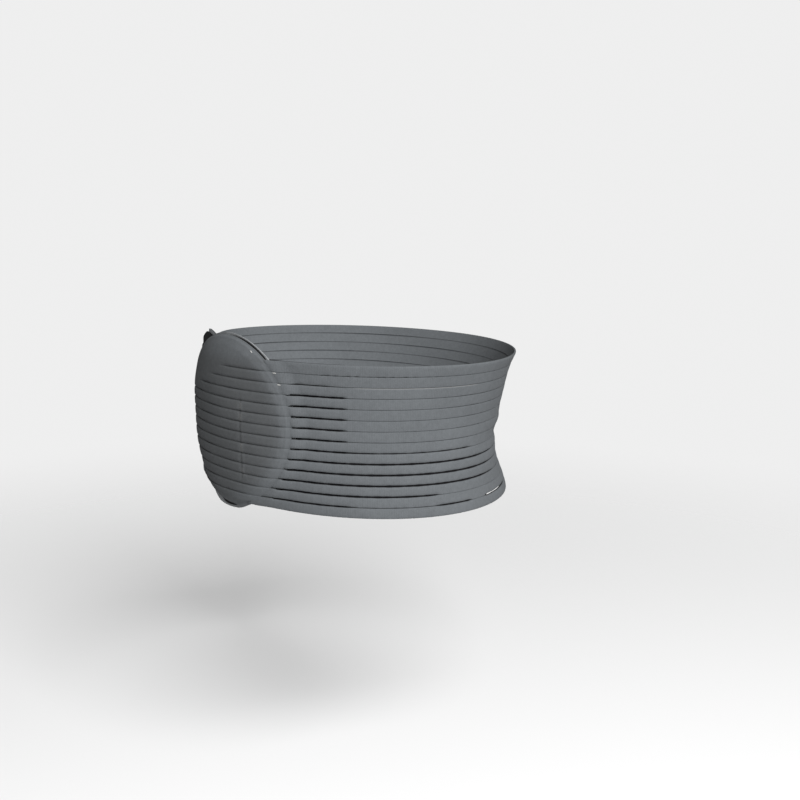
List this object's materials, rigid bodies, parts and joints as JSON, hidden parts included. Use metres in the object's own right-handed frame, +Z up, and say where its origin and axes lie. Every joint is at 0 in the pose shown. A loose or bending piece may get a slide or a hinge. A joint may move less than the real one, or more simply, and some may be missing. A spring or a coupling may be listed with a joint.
{
  "type": "hernia belt",
  "caption": "Closed waist belt of ribbed, slotted elastic with a near-round padded closing panel lapped over its own under-end.",
  "frame": {"origin": "centre of the waist opening, halfway up the band, where the wearer's waist holds the belt up", "axes": "+Z up, -Y the wearer's front, where the closing panel is, +X the wearer's left"},
  "size_m": [0.3816, 0.3177, 0.168],
  "materials": {
    "grey_elastic": "matt ribbed knitted elastic",
    "panel_cover": "matt ribbed knitted cover over padding",
    "dark_core": "black foam and hook layer",
    "light_backing": "lighter grey bonded sheet with a cut edge",
    "black_loop": "black brushed loop fabric"
  },
  "bodies": {
    "root": {"elastic_band": "grey_elastic", "front_panel": "panel_cover", "panel_core": "dark_core", "panel_backing": "light_backing", "under_end": "black_loop"}
  },
  "joints": []
}
